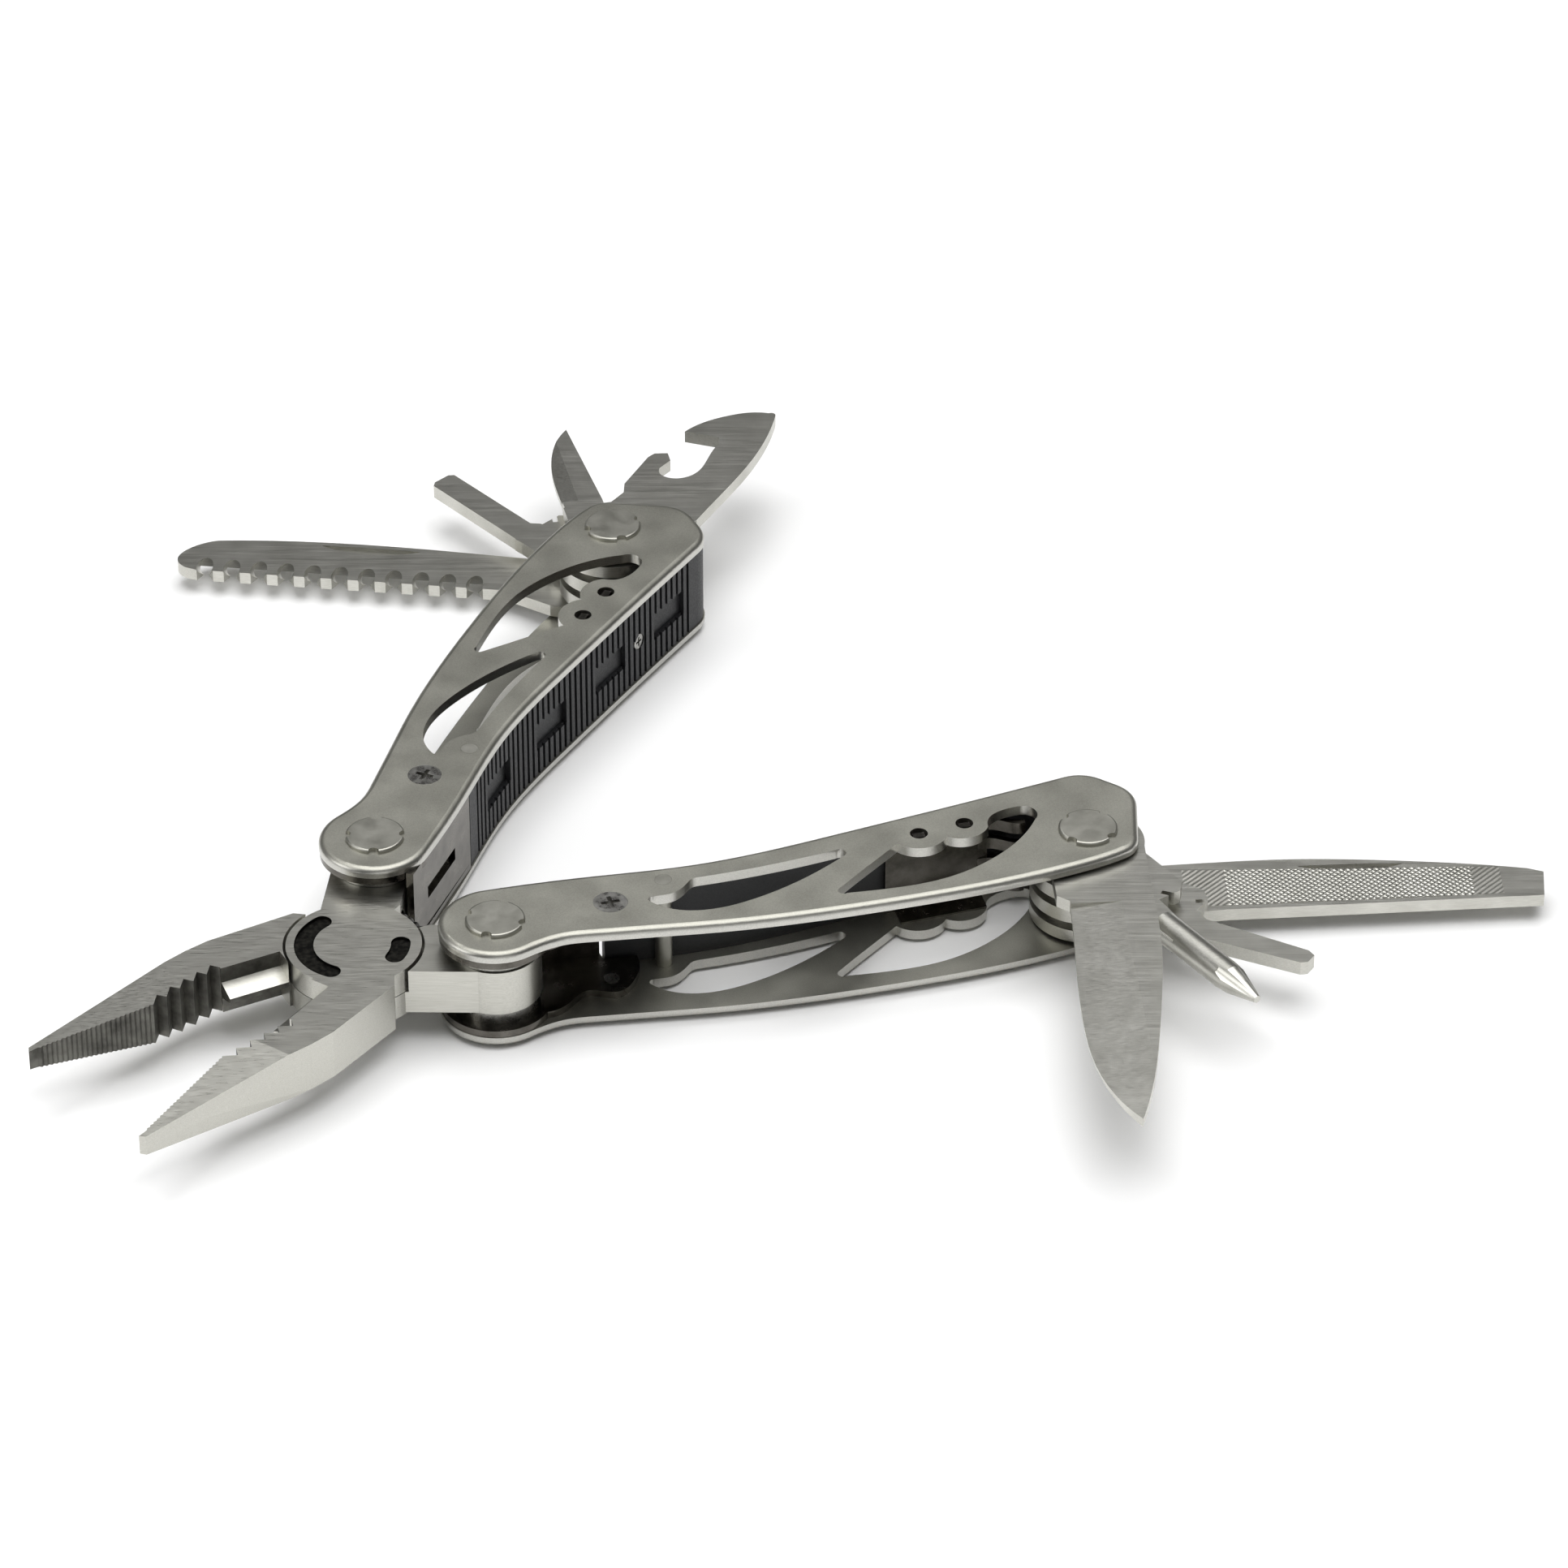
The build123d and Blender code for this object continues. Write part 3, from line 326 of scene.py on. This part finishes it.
blasted = beadBlastedStainless()
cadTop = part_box("top_jaw")[1].z
wear("top_jaw", groundForging("groundForgingUpper", jawDirection + grainTurn,
                              (math.cos(upperInner), math.sin(upperInner), 0), cadTop))
wear("under_jaw", groundForging("groundForgingLower", jawDirection - grainTurn,
                                (math.cos(lowerInner), math.sin(lowerInner), 0)))
polished = turnedSteel("tumbledPivotSteel", ("#a3a299", "#b3b2aa"), (0.36, 0.46), 2.5)
washerSteel = turnedSteel("washerSteel", ("#8f8e89", "#aeada8"), (0.2, 0.34), 1.6)
springSheet = turnedSteel("temperedSpringSheet", ("#4e4b46", "#74716b"), (0.16, 0.30), 3.0)
screwSteel = turnedSteel("zincedScrewSteel", ("#8d8c88", "#b5b4b0"), (0.22, 0.38), 1.2)
wireSteel = turnedSteel("oiledSpringWire", ("#2a2927", "#514f4b"), (0.25, 0.4), 1.0)
nylon = filledNylon()
for side in ("left", "right"):
    for plate in ("top_plate", "bottom_plate"):
        wear(f"{side}_{plate}", blasted)
    for piece in ("tang_caps", "tool_caps", "tang_barrel", "tool_barrel", "cross_pin"):
        wear(f"{side}_{piece}", polished)
    for piece in ("tang_washers", "tool_washers"):
        wear(f"{side}_{piece}", washerSteel)
    for piece in ("liner_bracket", "spring_bracket"):
        wear(f"{side}_{piece}", springSheet)
    wear(f"{side}_assembly_screws", screwSteel)
    wear(f"{side}_grip_screw", screwSteel)
    wear(f"{side}_grip_insert", nylon)
for tool in ("screwdriver", "saw", "knife", "phillips", "small_driver"):
    wear(tool + "_washer", washerSteel)
wear("jaw_pivot_pin", polished)
wear("return_spring", wireSteel)
for name, direction in toolDirection.items():
    wear(name, satinBladeSteel("satin_" + name, direction + math.radians(90)))
print("stage: materials on every node")


# ---------- file teeth and cap rings ----------

def finishPiece(mesh, name, material, body):
    data = bpy.data.meshes.new(name)
    mesh.to_mesh(data)
    mesh.free()
    piece = bpy.data.objects.new(name, data)
    bpy.context.scene.collection.objects.link(piece)
    data.materials.append(material)
    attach(piece, body)
    return piece


def toolFrame(name, pivot, side):
    # from a tool's own plan, in metres, to its place: +X along the tool, +Y towards its open side
    turn = Matrix.Rotation(toolDirection[name], 4, "Z")
    flip = Matrix.Scale(-1, 4, (0, 1, 0)) if side > 0 else Matrix.Identity(4)
    return Matrix.Translation((pivot.x, pivot.y, 0)) @ turn @ flip


hatch = {
    # sizes in mm: each ridge before clipping, and how far the rows start before and end past a stretch
    "pitch": 1.0, "width": 0.62, "height": 0.09, "reach": 16, "crest": 0.25, "lift": 0.3,
    "slant": 45.0, "middle": 2.0, "margin": 4,
    "length": (14.0, 59.0), "cross": (20.0, 55.0), "edges": ((-2.7, -1.35), (6.0, 5.0))}


def fileTeeth():
    # the cut teeth of the file: two slanted sets of ridges, clipped to the face
    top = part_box("file_blade")[1].z
    mesh = bmesh.new()
    for slant, (first, last) in ((1, hatch["length"]), (-1, hatch["cross"])):
        count = int((last - first + 2 * hatch["margin"]) / hatch["pitch"])
        for number in range(count):
            x = first - hatch["margin"] + number * hatch["pitch"]
            made = bmesh.ops.create_cube(mesh, size=1.0)["verts"]
            bmesh.ops.scale(mesh, verts=made, vec=(
                hatch["reach"] * mm, hatch["width"] * mm, hatch["height"] * mm))
            ridge = [v for v in made if v.co.z > 0]
            bmesh.ops.scale(mesh, verts=ridge, vec=(1, hatch["crest"], 1))
            bmesh.ops.rotate(mesh, verts=made, cent=(0, 0, 0),
                             matrix=Matrix.Rotation(math.radians(slant * hatch["slant"]), 3, "Z"))
            bmesh.ops.translate(mesh, verts=made, vec=(
                x * mm, hatch["middle"] * mm, top + hatch["height"] * hatch["lift"] * mm))
            clipTo(mesh, made, first, last)
    bmesh.ops.transform(mesh, matrix=toolFrame("file_blade", rightTools, -1), verts=mesh.verts)
    bmesh.ops.recalc_face_normals(mesh, faces=mesh.faces)
    return finishPiece(mesh, "file_teeth", satinBladeSteel("hardFileTeeth", toolDirection["file_blade"]),
                       "file_blade")


def clipTo(mesh, made, first, last):
    # keep what lies between two cross lines and the file's two tapering edges
    (lowStart, lowEnd), (highStart, highEnd) = hatch["edges"]
    run = hatch["length"][1] - hatch["length"][0]
    planes = [
        ((first, 0), (-1, 0)), ((last, 0), (1, 0)),
        ((hatch["length"][0], lowStart), ((lowEnd - lowStart) / run, -1)),
        ((hatch["length"][0], highStart), ((highStart - highEnd) / run, 1))]
    linked = set(made)
    for (px, py), (nx, ny) in planes:
        verts = [v for v in linked if v.is_valid]
        edges = {e for v in verts for e in v.link_edges}
        faces = {f for v in verts for f in v.link_faces}
        geom = verts + list(edges) + list(faces)
        if not geom:
            return
        cut = bmesh.ops.bisect_plane(mesh, geom=geom, plane_co=(px * mm, py * mm, 0),
                                     plane_no=(nx, ny, 0), clear_outer=True, dist=1e-7)
        rim = [e for e in cut["geom_cut"] if isinstance(e, bmesh.types.BMEdge)]
        if rim:
            bmesh.ops.contextual_create(mesh, geom=rim)
        linked = {v for v in cut["geom"] if isinstance(v, bmesh.types.BMVert) and v.is_valid}
        linked |= {v for e in rim if e.is_valid for v in e.verts}


fileTeeth()

capRing = {"radius": 2.05, "wire": 0.16, "steps": 48}


def capRings():
    # ring turned on each upper pivot cap, just proud of its face
    for name, pivot, body in (
            ("left_tang", leftTang, "left_handle"), ("right_tang", rightTang, "right_handle"),
            ("left_tool", leftTools, "left_handle"), ("right_tool", rightTools, "right_handle")):
        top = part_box(name + "_caps")[1].z
        mesh = bmesh.new()
        made = bmesh.ops.create_circle(mesh, segments=8, radius=capRing["wire"] * mm, cap_ends=False)
        bmesh.ops.rotate(mesh, verts=made["verts"], cent=(0, 0, 0),
                         matrix=Matrix.Rotation(math.radians(90), 3, "X"))
        bmesh.ops.translate(mesh, verts=made["verts"], vec=(
            pivot.x + capRing["radius"] * mm, pivot.y, top - capRing["wire"] * 1.02 * mm))
        bmesh.ops.spin(mesh, geom=mesh.edges[:] + mesh.verts[:], cent=(pivot.x, pivot.y, 0),
                       axis=(0, 0, 1), angle=math.radians(360), steps=capRing["steps"], use_merge=True)
        bmesh.ops.recalc_face_normals(mesh, faces=mesh.faces)
        finishPiece(mesh, name + "_cap_ring", polished, body)


capRings()
print("stage: added pieces")


# ---------- floor, light and camera ----------

studio = {
    # sky brightness by height: (sine of the elevation, grey level)
    "sky": ((0.0, 0.50), (0.30, 0.62), (0.62, 0.68), (1.0, 1.0)), "skyGain": 2.7,
    "paper": ("#fdfdfd", "#ffffff"), "paperGrain": 40, "floorSize": 3.0,
    # name: place, size, power, all in metres and watts; every lamp looks at the object
    "lamps": {
        "overheadSoftbox": ((0.05, 0.05, 1.10), 1.3, 16.0),
        "leftSoftbox": ((-0.95, -0.35, 0.55), 0.7, 4.0),
        "frontFill": ((0.25, -1.10, 0.22), 0.8, 1.2)}}


def studioFloor():
    material, tree, shader = newMaterial("paperSweep")
    coords = addNode(tree, "ShaderNodeTexCoord")
    paper = addNode(tree, "ShaderNodeTexNoise", {
        "Vector": coords.outputs["Object"], "Scale": 1 / (studio["paperGrain"] * mm), "Detail": 3.0})
    low, high = (colour(code) for code in studio["paper"])
    tree.links.new(ramp(tree, paper.outputs[0], low, high).outputs[0], shader.inputs["Base Color"])
    shader.inputs["Roughness"].default_value = 0.9
    mesh = bmesh.new()
    bmesh.ops.create_grid(mesh, x_segments=1, y_segments=1, size=studio["floorSize"])
    data = bpy.data.meshes.new("studioFloor")
    mesh.to_mesh(data)
    mesh.free()
    data.materials.append(material)
    floor = bpy.data.objects.new("studioFloor", data)
    bpy.context.scene.collection.objects.link(floor)


def studioLight():
    world = bpy.data.worlds.new("studioWorld")
    world.use_nodes = True
    tree = world.node_tree
    coords = addNode(tree, "ShaderNodeTexCoord")
    split = addNode(tree, "ShaderNodeSeparateXYZ", {0: coords.outputs["Generated"]})
    sky = addNode(tree, "ShaderNodeFloatCurve", {"Value": split.outputs[2]})
    curve = sky.mapping.curves[0]
    sky.mapping.clip_max_y = 2.0
    for height, level in studio["sky"][1:-1]:
        curve.points.new(height, level)
    curve.points[0].location = studio["sky"][0]
    curve.points[-1].location = studio["sky"][-1]
    sky.mapping.update()
    gain = addNode(tree, "ShaderNodeMath", {0: sky.outputs[0], 1: studio["skyGain"]},
                   operation="MULTIPLY")
    tree.links.new(gain.outputs[0], tree.nodes["Background"].inputs[1])
    bpy.context.scene.world = world
    for name, (place, size, power) in studio["lamps"].items():
        lamp = bpy.data.lights.new(name, "AREA")
        lamp.shape = "SQUARE"
        lamp.size = size
        lamp.energy = power
        holder = bpy.data.objects.new(name, lamp)
        holder.location = place
        holder.rotation_euler = (-Vector(place)).to_track_quat("-Z", "Y").to_euler()
        bpy.context.scene.collection.objects.link(holder)


view = {"fromHub": (59.30, -808.99), "height": 611.6, "pitch": 54.72, "lens": 167.7, "sensor": 36.0}


def studioCamera():
    lens = bpy.data.cameras.new("tripodCamera")
    lens.lens = view["lens"]
    lens.sensor_width = view["sensor"]
    lens.clip_start = 0.05
    lens.clip_end = 20
    camera = bpy.data.objects.new("tripodCamera", lens)
    camera.location = (hub.x + view["fromHub"][0] * mm, hub.y + view["fromHub"][1] * mm,
                       view["height"] * mm)
    camera.rotation_euler = (math.radians(view["pitch"]), 0, 0)
    bpy.context.scene.collection.objects.link(camera)
    bpy.context.scene.camera = camera


studioFloor()
studioLight()
studioCamera()
bpy.context.scene.view_settings.view_transform = "Standard"
print("stage: studio set")
